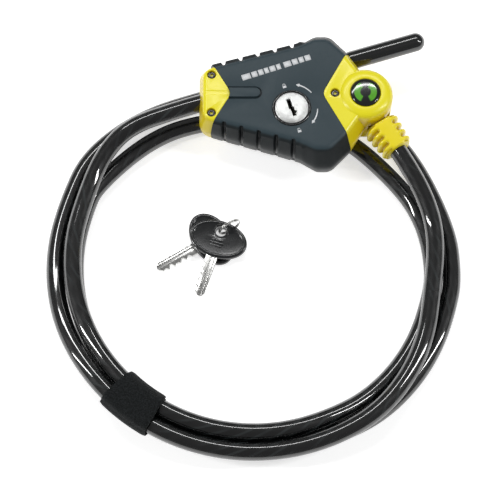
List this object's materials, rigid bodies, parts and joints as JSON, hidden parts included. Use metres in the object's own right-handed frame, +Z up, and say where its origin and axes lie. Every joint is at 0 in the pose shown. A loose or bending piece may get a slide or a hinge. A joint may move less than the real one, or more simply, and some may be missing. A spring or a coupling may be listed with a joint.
{
  "type": "adjustable cable lock",
  "caption": "Keyed cable lock with a slate body, yellow ends and a swivelling boot; its thick cable lies coiled, strapped and fed back through the body, with keys on a ring",
  "frame": {"origin": "on the floor under the middle of the lock, boot and keys, which is the box of everything but the cable", "axes": "the lock lies on its back: +Z up out of its face, +X along the body from the cable's entry to the swivel, +Y away from the coil; keys and coil lie towards -Y"},
  "size_m": [0.2296, 0.2469, 0.0404],
  "materials": {
    "cover_plastic": "satin moulded",
    "rear_plastic": "satin moulded",
    "yellow_plastic": "satin-gloss moulded",
    "boot_rubber": "glossy soft moulded",
    "black_plastic": "glossy moulded",
    "badge_plastic": "domed, glossy",
    "screw_steel": "blackened",
    "zinc": "die-cast zinc",
    "steel": "plain",
    "hard_steel": "hardened",
    "brass": "turned",
    "nickel": "satin nickel",
    "cable_vinyl": "smoke-clear vinyl over steel strand",
    "cap_vinyl": "glossy",
    "strap_fabric": "hook and loop"
  },
  "bodies": {
    "lock": {"front_cover": "cover_plastic", "rear_cover": "rear_plastic", "end_cap_front": "yellow_plastic", "end_cap_rear": "yellow_plastic", "end_cap_screws": "screw_steel", "bracket_front": "yellow_plastic", "bracket_rear": "yellow_plastic", "bracket_screw": "screw_steel", "badge": "badge_plastic", "swivel_pin": "steel", "swivel_washers": "steel", "entry_bush": "black_plastic", "exit_bush": "black_plastic", "chassis": "zinc", "back_plate": "steel", "plate_screws": "steel", "anvil": "hard_steel", "cylinder_bezel": "black_plastic", "cylinder_shell": "brass", "spring_cover": "brass", "driver_pins": "brass", "pin_springs": "steel", "pawl_springs": "steel", "cable_lead": "cable_vinyl", "cable_rise": "cable_vinyl", "cable_through": "cable_vinyl", "cable_under_outer": "cable_vinyl", "cable_under_inner": "cable_vinyl", "coil_right": "cable_vinyl", "coil_front": "cable_vinyl", "coil_left": "cable_vinyl", "cable_end_cap": "cap_vinyl", "cable_core_end": "steel", "strap": "strap_fabric"},
    "cylinder": {"keyway_plug": "nickel", "key_pins": "brass", "plug_clip": "steel", "lock_cam": "hard_steel"},
    "pawl": {"locking_pawl": "hard_steel"},
    "swivel": {"cable_terminal": "steel", "boot": "boot_rubber", "fixed_end": "cable_vinyl"},
    "ring": {"key_ring": "nickel"},
    "key_a": {"key_a_blade": "nickel", "key_a_head": "black_plastic"},
    "key_b": {"key_b_blade": "nickel", "key_b_head": "black_plastic"}
  },
  "joints": [
    {"name": "plug_turn", "type": "hinge", "parent": "lock", "child": "cylinder", "pos_m": [0.00486, 0.0253, 0.03], "axis": [0, 0, -1], "range_deg": [0, 180]},
    {"name": "pawl_slide", "type": "slide", "parent": "lock", "child": "pawl", "axis": [0.2974, -0.9548, 0], "range_m": [0, 0.0032], "deforming": ["pawl_springs"]},
    {"name": "boot_swing", "type": "hinge", "parent": "lock", "child": "swivel", "pos_m": [0.04586, 0.03429, 0.0245], "axis": [0, 0, 1], "range_deg": [-5, 12]},
    {"name": "keys_lift", "type": "slide", "parent": "lock", "child": "ring", "axis": [0, 0, 1], "range_m": [0, 0.03]},
    {"name": "key_a_swing", "type": "hinge", "parent": "ring", "child": "key_a", "pos_m": [-0.03434, -0.0359, 0.0034], "axis": [0, 0, 1], "range_deg": [-15, 15]},
    {"name": "key_b_swing", "type": "hinge", "parent": "ring", "child": "key_b", "pos_m": [-0.03434, -0.0359, 0.0067], "axis": [0, 0, 1], "range_deg": [-20, 12]}
  ],
  "couplings": [
    {"joint": "plug_turn", "follows": "pawl_slide", "rad_per_m": 981.75}
  ]
}
